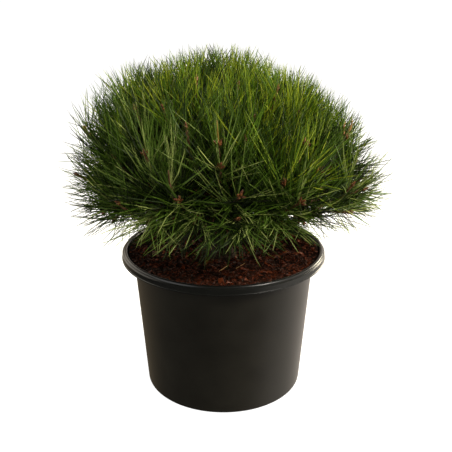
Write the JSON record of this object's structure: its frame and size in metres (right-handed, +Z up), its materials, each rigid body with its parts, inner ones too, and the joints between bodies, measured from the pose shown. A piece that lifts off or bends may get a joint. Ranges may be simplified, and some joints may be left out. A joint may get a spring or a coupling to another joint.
{
  "type": "potted dwarf austrian pine",
  "caption": "Dwarf pine in a round black nursery pot: short trunk, whorled boughs and a dense, flat-bottomed dome of long needles over bark substrate.",
  "frame": {"origin": "middle of the pot's flat underside", "axes": "+Z up, along the pot's axis; -Y is the side seen in the reference view, +X is to its right"},
  "size_m": [0.441, 0.4353, 0.4792],
  "materials": {
    "pot": "moulded, satin black",
    "substrate": "moist bark and coir chips, matt",
    "bark": "scaly bark, matt",
    "needles": "waxy green needles, satin"
  },
  "bodies": {
    "root": {"pot": "pot", "substrate": "substrate", "trunk": "bark", "bough_upper_1": "bark", "bough_upper_2": "bark", "bough_upper_3": "bark", "bough_upper_4": "bark", "bough_upper_5": "bark", "bough_upper_6": "bark", "bough_lower_1": "bark", "bough_lower_2": "bark", "bough_lower_3": "bark", "bough_lower_4": "bark", "bough_lower_5": "bark", "bough_lower_6": "bark", "bough_lower_7": "bark", "bough_lower_8": "bark", "foliage_top": "needles", "foliage_upper_1": "needles", "foliage_upper_2": "needles", "foliage_upper_3": "needles", "foliage_upper_4": "needles", "foliage_upper_5": "needles", "foliage_upper_6": "needles", "foliage_lower_1": "needles", "foliage_lower_2": "needles", "foliage_lower_3": "needles", "foliage_lower_4": "needles", "foliage_lower_5": "needles", "foliage_lower_6": "needles", "foliage_lower_7": "needles", "foliage_lower_8": "needles"}
  },
  "joints": []
}
